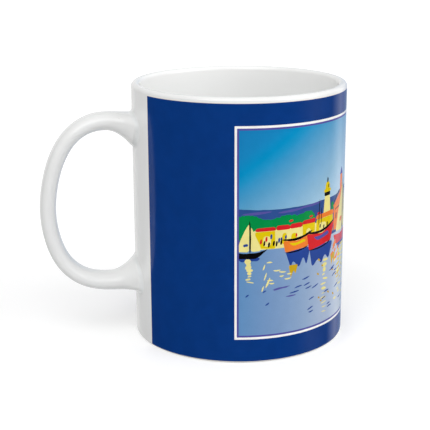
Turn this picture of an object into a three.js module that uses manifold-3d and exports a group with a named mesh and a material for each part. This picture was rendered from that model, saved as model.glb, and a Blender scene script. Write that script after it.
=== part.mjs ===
// Straight-sided ceramic mug with a loop handle and a printed wrap round its wall.
// Millimetres, +Z up. The mug stands on z = 0, its handle points along -X and the
// middle of its printed picture faces +X. The origin is under the middle of the whole
// mug, handle included, so the cup's own axis stands a little way along +X.

import * as THREE from 'three';
import { mergeVertices } from 'three/addons/utils/BufferGeometryUtils.js';
import Module from 'manifold-3d';

const wasm = await Module();
wasm.setup();

// ---------------------------------------------------------------- driving dimensions

const CUP_RADIUS = 40.5;
const CUP_HEIGHT = 97.6;
const RIM_WIDTH = 3.2;
const WALL_AT_RIM = 3.4;
const WALL_AT_FLOOR = 4.6;
const FLOOR_TOP = 6.6;
const INSIDE_CORNER = 7;

// The foot ring runs from the heel's rounded edge in to a shallow recess.
const HEEL_RADIUS = 1.3;
const FOOT_INNER = 34.8;
const FOOT_CORNER = 0.6;
const FOOT_RECESS = 1.8;
const FOOT_SLOPE = 1.6;

// The handle's centre line, as [distance from the cup's axis, height].
const HANDLE_LINE = [
  [36.5, 82.3],
  [46, 83.5],
  [54.5, 83.4],
  [62.4, 79.4],
  [68.6, 70.8],
  [72.1, 59.5],
  [73.1, 49.5],
  [71.7, 38.8],
  [67.1, 28.7],
  [60, 23.1],
  [52.5, 21.4],
  [45, 21.4],
  [36.5, 21.6],
];
const HANDLE_HALF_THICKNESS = 3.05;
const HANDLE_HALF_WIDTH = 6;
const HANDLE_ROOT_THICKENING = 0.5;
const HANDLE_THICKENING_REACH = 24;

// Each end of the handle flares where it meets the wall, into the loop and sideways.
const ROOT_FLARE_REACH = 9.5;
const UPPER_ROOT_FLARE = { intoLoop: 5, sideways: 4.4 };
const LOWER_ROOT_FLARE = { intoLoop: 5.8, sideways: 5.4 };

// The slip that joins each end of the handle to the wall.
const SLIP_LAYER = 0.4;
const SLIP_BEAD_HEIGHT = 0.9;
const SLIP_BEAD_REACH = 2.4;
const SLIP_SHARE = 0.07;

// The printed wrap. Angles are measured from +X, where the picture is centred.
const PRINT_THICKNESS = 0.12;
const WRAP_BOTTOM = 1.3;
const WRAP_TOP = 96;
const WRAP_HALF_ANGLE = 154.6;
const FRAME_BOTTOM = 9.34;
const FRAME_TOP = 87.85;
const FRAME_HALF_ANGLE = 102;
const FRAME_LINE = 1.55;

// Clearances between neighbouring solids.
const SKIN_GAP = 0.08;
const SEAM_GAP = 0.1;
const JOINT_GAP = 0.1;

const CUP_SIDES = 64;
const HANDLE_STEPS = 48;
const SLIP_STEPS = 10;
const HANDLE_SIDES = 22;

const handleReach = Math.max(...HANDLE_LINE.map(([reach]) => reach)) + HANDLE_HALF_THICKNESS;
const printRadius = CUP_RADIUS + SKIN_GAP + PRINT_THICKNESS;
const cupAxisX = (handleReach - printRadius) / 2;

// ---------------------------------------------------------------- solids and shapes

function toSolid(geometry) {
  const bare = geometry.clone();
  bare.deleteAttribute('normal');
  bare.deleteAttribute('uv');
  const merged = mergeVertices(bare, 1e-4);
  const mesh = new wasm.Mesh({
    numProp: 3,
    vertProperties: new Float32Array(merged.attributes.position.array),
    triVerts: new Uint32Array(merged.index.array),
  });
  return new wasm.Manifold(mesh);
}

function toGeometry(solid) {
  const mesh = solid.getMesh();
  const geometry = new THREE.BufferGeometry();
  geometry.setAttribute('position', new THREE.BufferAttribute(mesh.vertProperties, 3));
  geometry.setIndex(new THREE.BufferAttribute(mesh.triVerts, 1));
  geometry.computeVertexNormals();
  return geometry;
}

// Points on an arc of a profile, from one angle to another in degrees.
function arc(centreR, centreZ, radius, from, to, steps) {
  return Array.from({ length: steps + 1 }, (_, i) => {
    const angle = THREE.MathUtils.degToRad(from + ((to - from) * i) / steps);
    return new THREE.Vector2(centreR + radius * Math.cos(angle), centreZ + radius * Math.sin(angle));
  });
}

// A profile of (radius, height) points turned about the Z axis.
function turned(profile) {
  return new THREE.LatheGeometry(profile, CUP_SIDES).rotateX(Math.PI / 2);
}

// A closed ring of rectangular section about the Z axis.
function ring(innerRadius, outerRadius, bottom, top) {
  const corners = [
    [innerRadius, bottom],
    [outerRadius, bottom],
    [outerRadius, top],
    [innerRadius, top],
    [innerRadius, bottom],
  ];
  return turned(corners.map(([r, z]) => new THREE.Vector2(r, z)));
}

// An upright wedge that spans an angle on each side of +X.
function wedge(halfAngle) {
  const reach = 2 * CUP_RADIUS;
  const spread = THREE.MathUtils.degToRad(halfAngle);
  const outline = new THREE.Shape();
  outline.moveTo(0, 0);
  outline.lineTo(reach * Math.cos(-spread), reach * Math.sin(-spread));
  outline.absarc(0, 0, reach, -spread, spread, false);
  outline.closePath();
  return new THREE.ExtrudeGeometry(outline, {
    depth: CUP_HEIGHT,
    bevelEnabled: false,
    curveSegments: CUP_SIDES / 2,
  });
}

// A thin print on the cup's wall between two heights, centred on +X.
function printFilm(bottom, top, halfAngle) {
  const film = ring(CUP_RADIUS + SKIN_GAP, printRadius, bottom, top);
  return toSolid(film).intersect(toSolid(wedge(halfAngle)));
}

// The space that a print keeps clear for the print inside it.
function printWindow(bottom, top, halfAngle) {
  const seamAngle = THREE.MathUtils.radToDeg(SEAM_GAP / CUP_RADIUS);
  const space = ring(CUP_RADIUS - 1, printRadius + 1, bottom - SEAM_GAP, top + SEAM_GAP);
  return toSolid(space).intersect(toSolid(wedge(halfAngle + seamAngle)));
}

// A closed strap that follows a curve in the XZ plane. sectionAt gives, for a point on
// the curve, how far the strap reaches outwards, inwards and to each side.
function strap(curve, from, to, steps, sectionAt) {
  const positions = [];
  const indices = [];
  const sideways = new THREE.Vector3(0, 1, 0);
  for (let i = 0; i <= steps; i += 1) {
    const t = from + ((to - from) * i) / steps;
    const centre = curve.getPointAt(t);
    const outwards = new THREE.Vector3().crossVectors(sideways, curve.getTangentAt(t));
    const section = sectionAt(centre);
    for (let j = 0; j < HANDLE_SIDES; j += 1) {
      const angle = (2 * Math.PI * j) / HANDLE_SIDES;
      const lift = Math.cos(angle) * (Math.cos(angle) > 0 ? section.outer : section.inner);
      const side = Math.sin(angle) * section.side;
      const point = centre.clone().addScaledVector(outwards, lift).addScaledVector(sideways, side);
      positions.push(point.x, point.y, point.z);
    }
  }
  for (let i = 0; i < steps; i += 1) {
    for (let j = 0; j < HANDLE_SIDES; j += 1) {
      const next = (j + 1) % HANDLE_SIDES;
      const a = i * HANDLE_SIDES + j;
      const b = i * HANDLE_SIDES + next;
      indices.push(a, b, b + HANDLE_SIDES, a, b + HANDLE_SIDES, a + HANDLE_SIDES);
    }
  }
  const lastRing = steps * HANDLE_SIDES;
  for (let j = 1; j < HANDLE_SIDES - 1; j += 1) {
    indices.push(0, j + 1, j);
    indices.push(lastRing, lastRing + j, lastRing + j + 1);
  }
  const geometry = new THREE.BufferGeometry();
  geometry.setAttribute('position', new THREE.Float32BufferAttribute(positions, 3));
  geometry.setIndex(indices);
  return geometry;
}

// ---------------------------------------------------------------- the cup

function cupBody() {
  const rimRadius = RIM_WIDTH / 2;
  const rimCentre = CUP_RADIUS - rimRadius;
  const rimZ = CUP_HEIGHT - rimRadius;
  const wallInside = CUP_RADIUS - WALL_AT_RIM;
  const floorInside = CUP_RADIUS - WALL_AT_FLOOR;
  const profile = [
    new THREE.Vector2(0, FOOT_RECESS),
    new THREE.Vector2(FOOT_INNER - FOOT_CORNER - FOOT_SLOPE, FOOT_RECESS),
    ...arc(FOOT_INNER, FOOT_CORNER, FOOT_CORNER, 200, 270, 3),
    ...arc(CUP_RADIUS - HEEL_RADIUS, HEEL_RADIUS, HEEL_RADIUS, -90, 0, 5),
    new THREE.Vector2(CUP_RADIUS, CUP_HEIGHT / 2),
    ...arc(rimCentre, rimZ, rimRadius, 0, 180, 12),
    new THREE.Vector2(wallInside, CUP_HEIGHT - 2 * RIM_WIDTH),
    ...arc(floorInside - INSIDE_CORNER, FLOOR_TOP + INSIDE_CORNER, INSIDE_CORNER, 0, -90, 6),
    new THREE.Vector2(0, FLOOR_TOP),
  ];
  return turned(profile);
}

// ---------------------------------------------------------------- the handle

const handleCurve = new THREE.CatmullRomCurve3(
  HANDLE_LINE.map(([reach, z]) => new THREE.Vector3(-reach, 0, z)),
  false,
  'centripetal',
);

// How near a point on the handle is to the wall: 1 at the wall, 0 at the reach given.
function nearness(centre, reach) {
  const distance = Math.hypot(centre.x, centre.y) - CUP_RADIUS;
  return THREE.MathUtils.clamp(1 - distance / reach, 0, 1);
}

function handleSection(centre, extra = 0) {
  const thickening = HANDLE_ROOT_THICKENING * nearness(centre, HANDLE_THICKENING_REACH);
  const flare = centre.z > CUP_HEIGHT / 2 ? UPPER_ROOT_FLARE : LOWER_ROOT_FLARE;
  const spread = nearness(centre, ROOT_FLARE_REACH);
  const half = HANDLE_HALF_THICKNESS + thickening + extra;
  return {
    outer: half,
    inner: half + flare.intoLoop * spread ** 1.8,
    side: HANDLE_HALF_WIDTH + extra + flare.sideways * spread ** 2.6,
  };
}

function wallCylinder(radius) {
  return toSolid(ring(1, radius, -CUP_HEIGHT, 2 * CUP_HEIGHT));
}

function handle() {
  const whole = strap(handleCurve, 0, 1, HANDLE_STEPS, (centre) => handleSection(centre));
  const end = CUP_RADIUS + SKIN_GAP + SLIP_LAYER + JOINT_GAP;
  return toGeometry(toSolid(whole).subtract(wallCylinder(end)));
}

// A bead of slip round one end of the handle, with a thin layer behind that end.
function slipJoint(from, to) {
  const beadSection = (centre) => {
    const bead = SLIP_BEAD_HEIGHT * nearness(centre, SLIP_BEAD_REACH) ** 2;
    return handleSection(centre, bead);
  };
  const roomSection = (centre) => handleSection(centre, JOINT_GAP);
  const bead = toSolid(strap(handleCurve, from, to, SLIP_STEPS, beadSection));
  const room = toSolid(strap(handleCurve, 0, 1, HANDLE_STEPS, roomSection));
  const socket = room.subtract(wallCylinder(CUP_RADIUS + SKIN_GAP + SLIP_LAYER));
  return toGeometry(bead.subtract(wallCylinder(CUP_RADIUS + SKIN_GAP)).subtract(socket));
}

// ---------------------------------------------------------------- the printed wrap

function blueWrap() {
  const ground = printFilm(WRAP_BOTTOM, WRAP_TOP, WRAP_HALF_ANGLE);
  return toGeometry(ground.subtract(printWindow(FRAME_BOTTOM, FRAME_TOP, FRAME_HALF_ANGLE)));
}

function pictureEdges() {
  const lineAngle = THREE.MathUtils.radToDeg(FRAME_LINE / CUP_RADIUS);
  return [FRAME_BOTTOM + FRAME_LINE, FRAME_TOP - FRAME_LINE, FRAME_HALF_ANGLE - lineAngle];
}

function pictureBorder() {
  const border = printFilm(FRAME_BOTTOM, FRAME_TOP, FRAME_HALF_ANGLE);
  return toGeometry(border.subtract(printWindow(...pictureEdges())));
}

function picturePanel() {
  return toGeometry(printFilm(...pictureEdges()));
}

// ---------------------------------------------------------------- assembly

function material(color, roughness) {
  return new THREE.MeshStandardMaterial({ color, roughness, metalness: 0 });
}

const glazedWhite = 0xf1f0ee;
const slipWhite = 0xebeae6;
const groundBlue = 0x0d3676;
const borderWhite = 0xf0ece4;
const skyBlue = 0x3f92c8;

const mug = new THREE.Group();
mug.position.x = cupAxisX;

function addPart(name, geometry, color, roughness) {
  const mesh = new THREE.Mesh(geometry, material(color, roughness));
  mesh.name = name;
  mug.add(mesh);
}

addPart('cup_body', cupBody(), glazedWhite, 0.12);
addPart('handle', handle(), glazedWhite, 0.12);
addPart('upper_slip_joint', slipJoint(0, SLIP_SHARE), slipWhite, 0.18);
addPart('lower_slip_joint', slipJoint(1 - SLIP_SHARE, 1), slipWhite, 0.18);
addPart('blue_wrap', blueWrap(), groundBlue, 0.16);
addPart('picture_border', pictureBorder(), borderWhite, 0.16);
addPart('picture_panel', picturePanel(), skyBlue, 0.16);

export default mug;
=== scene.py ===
"""A straight-sided ceramic mug with a printed harbour wrap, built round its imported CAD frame.

Laid out as an add-on: sizes and colours are properties, each piece has its own operator,
and a panel in the 3D view lists them. Run as a script, it builds every piece in order.
"""

import math
import random

import bpy
import numpy as np
from mathutils import Matrix, Vector
from mathutils.geometry import delaunay_2d_cdt


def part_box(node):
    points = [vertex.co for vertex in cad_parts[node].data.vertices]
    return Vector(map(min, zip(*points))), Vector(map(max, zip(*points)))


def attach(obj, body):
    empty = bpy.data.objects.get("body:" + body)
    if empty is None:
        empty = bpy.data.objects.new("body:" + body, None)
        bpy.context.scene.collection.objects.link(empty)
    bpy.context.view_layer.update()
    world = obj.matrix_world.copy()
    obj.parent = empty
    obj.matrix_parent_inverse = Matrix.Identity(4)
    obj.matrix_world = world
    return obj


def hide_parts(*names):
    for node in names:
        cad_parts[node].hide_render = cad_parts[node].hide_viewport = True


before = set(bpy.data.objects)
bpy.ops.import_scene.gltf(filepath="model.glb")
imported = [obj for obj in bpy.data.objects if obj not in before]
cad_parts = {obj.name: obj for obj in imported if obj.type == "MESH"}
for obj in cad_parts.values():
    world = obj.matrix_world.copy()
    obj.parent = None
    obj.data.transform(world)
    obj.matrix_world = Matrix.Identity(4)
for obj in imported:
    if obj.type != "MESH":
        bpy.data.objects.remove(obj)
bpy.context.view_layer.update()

bl_info = {
    "name": "Printed Ceramic Mug",
    "version": (1, 0, 0),
    "blender": (4, 5, 0),
    "location": "3D View > Sidebar > Mug",
    "description": "Builds a glazed mug with a printed harbour wrap, piece by piece",
    "category": "Add Mesh",
}

MM = 0.001
BODY = "root"
WHITE = (1.0, 1.0, 1.0, 1.0)

# Places taken from the frame.
CUP_LOW, CUP_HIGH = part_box("cup_body")
WRAP_LOW, WRAP_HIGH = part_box("blue_wrap")
BORDER_LOW, BORDER_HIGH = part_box("picture_border")
CUP_AXIS = (CUP_LOW[0] + CUP_HIGH[0]) / 2
CUP_RADIUS = (CUP_HIGH[0] - CUP_LOW[0]) / 2
CUP_HEIGHT = CUP_HIGH[2]
PRINT_RADIUS = WRAP_HIGH[0] - CUP_AXIS
WRAP_HALF_ANGLE = math.acos((WRAP_LOW[0] - CUP_AXIS) / PRINT_RADIUS)
BORDER_HALF_ANGLE = math.acos((BORDER_LOW[0] - CUP_AXIS) / PRINT_RADIUS)


# ------------------------------------------------------------------ properties


def length(name, millimetres, description):
    """A length property whose default is given in millimetres."""
    return bpy.props.FloatProperty(
        name=name, description=description, default=millimetres * MM, min=0.0, unit="LENGTH"
    )


def angle(name, degrees, description):
    """An angle property whose default is given in degrees."""
    return bpy.props.FloatProperty(
        name=name, description=description, default=math.radians(degrees), subtype="ANGLE"
    )


def strength(name, default, description):
    """A light's strength."""
    return bpy.props.FloatProperty(name=name, description=description, default=default, min=0.0)


def colour(name, red, green, blue, description):
    """A colour property whose default is given as display values from 0 to 255."""
    return bpy.props.FloatVectorProperty(
        name=name,
        description=description,
        default=[linear(value) for value in (red, green, blue)],
        min=0.0,
        max=1.0,
        size=3,
        subtype="COLOR",
    )


def linear(value):
    """A display value from 0 to 255 as a linear one from 0 to 1, by the usual screen curve."""
    share = value / 255
    return share / 12.92 if share <= 0.04045 else ((share + 0.055) / 1.055) ** 2.4


class MugCupSizes(bpy.types.PropertyGroup):
    """Sizes of the turned cup."""

    rim_width: length("Rim Width", 3.2, "Width of the fully rounded rim")
    wall_at_rim: length("Wall at Rim", 3.4, "Thickness of the wall just under the rim")
    wall_at_floor: length("Wall at Floor", 4.6, "Thickness of the wall near the floor")
    floor_top: length("Floor Height", 6.6, "Height of the floor inside the cup")
    inside_corner: length("Inside Corner", 7.0, "Radius between the floor and the wall inside")
    heel: length("Heel", 1.3, "Radius of the outer bottom edge")
    foot_inner: length("Foot Ring Inside", 34.8, "Inner radius of the foot ring")
    foot_corner: length("Foot Ring Corner", 0.6, "Radius of the foot ring's inner edge")
    foot_recess: length("Foot Recess", 1.8, "Depth of the recess inside the foot ring")
    turning_steps: bpy.props.IntProperty(
        name="Turning Steps", description="Faces round the cup", default=240, min=24, max=720
    )


class MugHandleSizes(bpy.types.PropertyGroup):
    """Sizes of the handle and of the slip that holds it."""

    half_thickness: length("Half Thickness", 3.05, "Half the strap's thickness at its middle")
    half_width: length("Half Width", 6.0, "Half the strap's width")
    root_thickening: length("Root Thickening", 0.5, "Extra half thickness towards each root")
    thickening_reach: length("Thickening Reach", 24.0, "How far from the wall that begins")
    flare_reach: length("Flare Reach", 9.5, "How far from the wall the flare begins")
    upper_into_loop: length("Upper Flare", 4.6, "How far the upper root flares into the loop")
    upper_sideways: length("Upper Spread", 4.4, "How far the upper root flares sideways")
    lower_into_loop: length("Lower Flare", 5.2, "How far the lower root flares into the loop")
    lower_sideways: length("Lower Spread", 5.4, "How far the lower root flares sideways")
    slip_fillet: length("Slip Fillet", 1.5, "Size of the smoothed slip round each root")
    squareness: bpy.props.FloatProperty(
        name="Squareness",
        description="2 gives an oval section, more gives a squarer one",
        default=2.3,
        min=2.0,
        max=4.0,
    )


class MugPrintSizes(bpy.types.PropertyGroup):
    """Sizes of the printed wrap."""

    film: length("Film", 0.02, "How far the print stands above the wall")
    bedding: length("Bedding", 0.06, "How far the print reaches into the wall")
    film_foot: length("Print Foot", 0.4, "Height at which the coating starts, on the rounded heel")
    coat_margin: length("Coat Margin", 0.5, "Width of the unprinted coating round the wrap")
    white_line: length("White Line", 0.85, "Width of the picture's outer line")
    violet_line: length("Violet Line", 0.7, "Width of the picture's inner line")
    column: angle("Column Angle", 1.5, "Angle between the print's upright edges")


class MugColours(bpy.types.PropertyGroup):
    """Colours of the glaze, the clay and the inks."""

    glaze: colour("Glaze", 243, 243, 242, "White glaze")
    # Painted light: the cup's inside gets a whiter copy of the same glaze, which brightens it as
    # painted light.
    inner_glaze: colour("Inner Glaze", 252, 252, 251, "Whiter copy of the glaze inside the cup, as painted light")
    clay: colour("Clay", 214, 206, 194, "Bare fired clay under the foot ring")
    coating: colour("Coating", 247, 243, 236, "Unprinted coating beside the wrap")
    ground: colour("Ground", 9, 57, 129, "Blue ground of the wrap")
    white_line: colour("White Line", 253, 252, 250, "Outer line round the picture")
    violet_line: colour("Violet Line", 86, 82, 160, "Inner line round the picture")


class MugInks(bpy.types.PropertyGroup):
    """Colours of the inks in the harbour picture."""

    red: colour("Red", 216, 35, 42, "Roofs and hulls")
    orange: colour("Orange", 240, 128, 48, "Warehouse, tower and boats")
    yellow: colour("Yellow", 227, 200, 8, "Sunlit walls and boats")
    cream: colour("Cream", 242, 230, 146, "Sails, quay and lighthouse")
    mustard: colour("Mustard", 206, 168, 30, "Light on the water")
    green: colour("Green", 4, 144, 71, "Trees")
    hill: colour("Hill Blue", 48, 80, 144, "Far hills")
    heather: colour("Heather", 88, 84, 160, "Streaks on the hills and reflections")
    deep: colour("Deep Blue", 38, 70, 150, "Reflections and waves")
    black: colour("Black", 12, 12, 14, "Outlines, masts and windows")


class MugStage(bpy.types.PropertyGroup):
    """The floor, the lights and the camera."""

    floor_size: length("Floor Size", 14000.0, "Side of the square floor")
    dome: strength("Dome Light", 0.53, "Strength of the even light from all round")
    key_light: strength("Key Light", 1.16, "Strength of the soft light from above")
    key_side: angle("Key Side", -30.0, "How far right of the -Y direction the key light stands")
    key_height: angle("Key Height", 50.0, "How high the key light stands")
    side_light: strength("Side Light", 1.15, "Strength of the soft light from the right")
    side_side: angle("Side Light Side", 60.0, "How far right of the -Y direction the side light stands")
    side_height: angle("Side Light Height", 25.0, "How high the side light stands")
    light_spread: angle("Light Spread", 50.0, "How wide the key and side lights are")
    floor_lift: strength("Floor Lift", 0.42, "How much the floor is lifted towards white")
    mirrored: strength("Mirrored Studio", 1.2, "Brightness of the studio that the glaze mirrors")
    mirrored_top: strength("Mirrored Top", 0.5, "Brightness of the studio's ceiling in the glaze")
    lens: bpy.props.FloatProperty(
        name="Lens", description="The camera's focal length in millimetres", default=92.35, min=1.0
    )
    camera_distance: length("Camera Distance", 413.18, "Level distance from the cup's axis")
    camera_height: length("Camera Height", 160.37, "Height above the floor")
    camera_side: angle("Camera Side", 10.0, "How far round towards the handle it stands")
    camera_turn: angle("Camera Turn", 8.73, "How far it turns back towards the cup")
    camera_tilt: angle("Camera Tilt", 15.609, "How far it looks down")
    camera_roll: angle("Camera Roll", 0.225, "How far it leans")


PROPERTY_SLOTS = {
    "mug_stage": MugStage,
    "mug_cup": MugCupSizes,
    "mug_handle": MugHandleSizes,
    "mug_print": MugPrintSizes,
    "mug_colours": MugColours,
    "mug_inks": MugInks,
}


# ------------------------------------------------------------------ mesh helpers


def add_object(context, name, mesh):
    """Links a mesh to the scene as a new object at the origin."""
    piece = bpy.data.objects.new(name, mesh)
    context.scene.collection.objects.link(piece)
    return piece


def mesh_object(context, name, points, faces, materials, face_materials=None):
    """A smooth-shaded object from points and faces."""
    mesh = bpy.data.meshes.new(name)
    mesh.from_pydata([tuple(point) for point in points], [], [tuple(face) for face in faces])
    for material in materials:
        mesh.materials.append(material)
    if face_materials is not None:
        mesh.polygons.foreach_set("material_index", face_materials)
    mesh.polygons.foreach_set("use_smooth", [True] * len(mesh.polygons))
    mesh.update()
    return add_object(context, name, mesh)


def set_point_values(mesh, name, values):
    """Stores one number for each point of a mesh."""
    attribute = mesh.attributes.new(name, "FLOAT", "POINT")
    attribute.data.foreach_set("value", values)


def finish_piece(piece, slot, *nodes):
    """Puts a piece on the mug's body, in place of the CAD nodes that it stands for."""
    if not piece.data.polygons:
        raise RuntimeError(f"{piece.name} has no faces")
    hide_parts(*nodes)
    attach(piece, BODY)


def arc(centre, radius, start, end, steps):
    """Points on an arc of a profile, from one angle to another in degrees."""
    angles = [math.radians(start + (end - start) * i / steps) for i in range(steps + 1)]
    return [(centre[0] + radius * math.cos(a), centre[1] + radius * math.sin(a)) for a in angles]


def wall_radius(height, heel):
    """The cup's outer radius at a height, with the rounded heel."""
    if height >= heel:
        return CUP_RADIUS
    return CUP_RADIUS - heel + math.sqrt(max(heel**2 - (heel - height) ** 2, 0.0))


def on_wall(angle, height, radius):
    """A point at an angle from +X round the cup's axis."""
    return Vector((CUP_AXIS + radius * math.cos(angle), radius * math.sin(angle), height))


# ------------------------------------------------------------------ material helpers


class Nodes:
    """A node tree, built with short calls."""

    def __init__(self, tree):
        self.tree = tree

    def node(self, kind, inputs=None, **settings):
        """Adds a node. An input is given a number, a colour or another node's output."""
        made = self.tree.nodes.new(kind)
        for name, value in settings.items():
            setattr(made, name, value)
        for key, value in (inputs or {}).items():
            self.feed(made.inputs[key], value)
        return made

    def feed(self, socket, value):
        """Links an output to a socket, or sets the socket's own value."""
        if isinstance(value, bpy.types.NodeSocket):
            self.tree.links.new(value, socket)
        else:
            socket.default_value = value

    def between(self, value, low, high, to_low=0.0, to_high=1.0):
        """Maps a value from one range to another and clamps it."""
        inputs = {0: value, 1: low, 2: high, 3: to_low, 4: to_high}
        return self.node("ShaderNodeMapRange", inputs).outputs[0]

    def mix(self, share, first, second):
        """A colour between two others."""
        inputs = {0: share, 6: first, 7: second}
        return self.node("ShaderNodeMix", inputs, data_type="RGBA").outputs[2]

    def mix_shaders(self, share, first, second):
        """The first shader's output where the share is 0, and the second's where it is 1."""
        return self.node("ShaderNodeMixShader", {0: share, 1: first, 2: second}).outputs[0]

    def math(self, operation, first, second):
        """One step of arithmetic."""
        return self.node("ShaderNodeMath", {0: first, 1: second}, operation=operation).outputs[0]

    def split(self, place):
        """The X, Y and Z of a place."""
        return self.node("ShaderNodeSeparateXYZ", {0: place}).outputs

    def ramp(self, value, stops):
        """A colour ramp with (place, colour) stops."""
        made = self.node("ShaderNodeValToRGB", {0: value})
        elements = made.color_ramp.elements
        while len(elements) < len(stops):
            elements.new(1.0)
        for element, (place, tint) in zip(elements, stops):
            element.position = place
            element.color = opaque(tint)
        return made.outputs[0]


class Shader(Nodes):
    """A material's nodes, with its surface and the object's own coordinates."""

    def __init__(self, name):
        self.material = bpy.data.materials.new(name)
        self.material.use_nodes = True
        super().__init__(self.material.node_tree)
        self.surface = self.tree.nodes["Principled BSDF"]
        self.place = self.node("ShaderNodeTexCoord").outputs["Object"]

    def set(self, **values):
        """Sets the surface's inputs, with underscores for the spaces in their names."""
        for name, value in values.items():
            self.feed(self.surface.inputs[name.replace("_", " ")], value)

    def noise(self, feature, detail=2.0):
        """Noise whose features are about the given size in metres, from 0 to 1."""
        inputs = {"Vector": self.place, "Scale": 1.0 / feature, "Detail": detail}
        return self.node("ShaderNodeTexNoise", inputs).outputs["Fac"]

    def cloud(self, feature, detail=2.0, spread=0.2):
        """Noise stretched about its middle until it fills the range from 0 to 1."""
        return self.between(self.noise(feature, detail), 0.5 - spread, 0.5 + spread)

    def point_value(self, name):
        """A number stored at the mesh's points."""
        return self.node("ShaderNodeAttribute", attribute_name=name).outputs["Fac"]

    def bump(self, height, depth, after=None):
        """A bump of the given depth in metres, over an earlier one."""
        inputs = {"Height": height, "Distance": depth, "Strength": 1.0}
        if after is not None:
            inputs["Normal"] = after
        return self.node("ShaderNodeBump", inputs).outputs["Normal"]

    def waves(self):
        """The slow waves that every glazed surface has."""
        return self.bump(self.noise(WAVE_SIZE, 1.0), WAVE_DEPTH)


def opaque(tint, shade=1.0):
    """A colour with its alpha, made lighter or darker."""
    return (*[min(channel * shade, 1.0) for channel in tint], 1.0)


def display(red, green, blue):
    """A linear colour from display values from 0 to 255."""
    return tuple(linear(value) for value in (red, green, blue))


# The glaze's surface: slow waves left by its flow, and a fine ripple over them.
WAVE_SIZE = 14 * MM
WAVE_DEPTH = 0.03 * MM
RIPPLE_SIZE = 1.6 * MM
RIPPLE_DEPTH = 0.0012 * MM
GLAZE_IOR = 1.5
GLAZE_SPECULAR = 0.5

# The glaze's colour and gloss: slow clouds, a cooler white where it pools, and specks of
# iron, whose edges and choice are shares of the cells that they are strewn in.
CLOUD_SIZE = 22 * MM
CLOUD_SHADES = (0.985, 1.01)
POOLED_TINT = (0.93, 0.955, 0.965)
POOLED_STRENGTH = 0.8
SPECK_SPACING = 7 * MM
SPECK_EDGE = (0.012, 0.026)
SPECK_CHOICE = (0.90, 0.93)
SPECK_STRENGTH = 0.45
SPECK_COLOUR = (118, 96, 74)
GLOSS_PATCH = 9 * MM
GLAZE_ROUGHNESS = (0.07, 0.12)

# The bare clay and its rubbed patches.
CLAY_GRAIN = 0.35 * MM
CLAY_SHADES = (0.93, 1.04)
CLAY_DEPTH = 0.03 * MM
CLAY_ROUGHNESS = (0.78, 0.92)
CLAY_SPECULAR = 0.3
RUBBED_SIZE = 5 * MM
RUBBED_EDGE = (0.52, 0.68)
RUBBED_STRENGTH = 0.3
RUBBED_COLOUR = (158, 153, 146)

# The prints: slow mottling, and the dots that the ink is laid in.
MOTTLE_SIZE = 3.5 * MM
MOTTLE_STRENGTH = 0.04
DOT_SIZE = 0.16 * MM
DOT_STRENGTH = 0.05
DOT_DEPTH = 0.0004 * MM
DARKEST_INK = 0.955
INK_DRIFT = 6 * MM
DRIFT_SHADE = 0.94
INK_ROUGHNESS = (0.1, 0.15)
INK_SPECULAR = 0.25


def glaze_material(name, tint, inner=None):
    """Clear gloss over white clay: faint waves, fine ripple, a few iron specks, and a whiter copy
    inside the cup as painted light.
    """
    shader = Shader(name)
    shades = [opaque(tint, shade) for shade in CLOUD_SHADES]
    white = shader.mix(shader.cloud(CLOUD_SIZE), *shades)
    # Painted light: inside the cup the white is blended towards the whiter copy, so the inside is
    # brightened as painted light.
    if inner:
        white = shader.mix(shader.point_value("inside"), white, opaque(inner))
    depth = shader.point_value("glaze_depth")
    pooled = shader.between(depth, 0.0, 1.0, 0.0, POOLED_STRENGTH)
    cool = opaque([channel * share for channel, share in zip(tint, POOLED_TINT)])
    white = shader.mix(pooled, white, cool)
    inputs = {"Vector": shader.place, "Scale": 1 / SPECK_SPACING}
    cells = shader.node("ShaderNodeTexVoronoi", inputs, feature="F1").outputs
    near = shader.between(cells["Distance"], *SPECK_EDGE, 1.0, 0.0)
    dice = shader.node("ShaderNodeSeparateColor", {0: cells["Color"]}).outputs[0]
    chosen = shader.between(dice, *SPECK_CHOICE, 0.0, SPECK_STRENGTH)
    speck = shader.math("MULTIPLY", near, chosen)
    shader.set(Base_Color=shader.mix(speck, white, opaque(display(*SPECK_COLOUR))))
    gloss = shader.between(shader.cloud(GLOSS_PATCH), 0.0, 1.0, *GLAZE_ROUGHNESS)
    shader.set(Roughness=gloss, IOR=GLAZE_IOR, Specular_IOR_Level=GLAZE_SPECULAR)
    ripple = shader.noise(RIPPLE_SIZE, 1.0)
    shader.set(Normal=shader.bump(ripple, RIPPLE_DEPTH, shader.waves()))
    return shader.material


def clay_material(name, tint):
    """Bare fired clay: matt, grainy, greyed where it has rubbed on tables."""
    shader = Shader(name)
    grain = shader.cloud(CLAY_GRAIN, 3.0, 0.15)
    warm = shader.mix(grain, *[opaque(tint, shade) for shade in CLAY_SHADES])
    patches = shader.noise(RUBBED_SIZE, 4.0)
    rubbed = shader.between(patches, *RUBBED_EDGE, 0.0, RUBBED_STRENGTH)
    shader.set(Base_Color=shader.mix(rubbed, warm, opaque(display(*RUBBED_COLOUR))))
    roughness = shader.between(grain, 0.0, 1.0, *CLAY_ROUGHNESS)
    shader.set(Roughness=roughness, Specular_IOR_Level=CLAY_SPECULAR)
    shader.set(Normal=shader.bump(grain, CLAY_DEPTH))
    return shader.material


def ink_finish(shader, flat):
    """Gives a print its fine mottling, the dots of its ink and the glaze's gloss."""
    mottle = shader.cloud(MOTTLE_SIZE, 3.0)
    dots = shader.cloud(DOT_SIZE, 0.0, 0.15)
    mottled = shader.math("MULTIPLY", mottle, MOTTLE_STRENGTH)
    dotted = shader.math("MULTIPLY", dots, DOT_STRENGTH)
    value = shader.math("ADD", shader.math("ADD", mottled, dotted), DARKEST_INK)
    toned = shader.node("ShaderNodeHueSaturation", {"Value": value, "Color": flat})
    roughness = shader.between(mottle, 0.0, 1.0, *INK_ROUGHNESS)
    shader.set(Base_Color=toned.outputs["Color"], Roughness=roughness)
    shader.set(Specular_IOR_Level=INK_SPECULAR)
    shader.set(Normal=shader.bump(dots, DOT_DEPTH, shader.waves()))
    return shader.material


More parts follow.
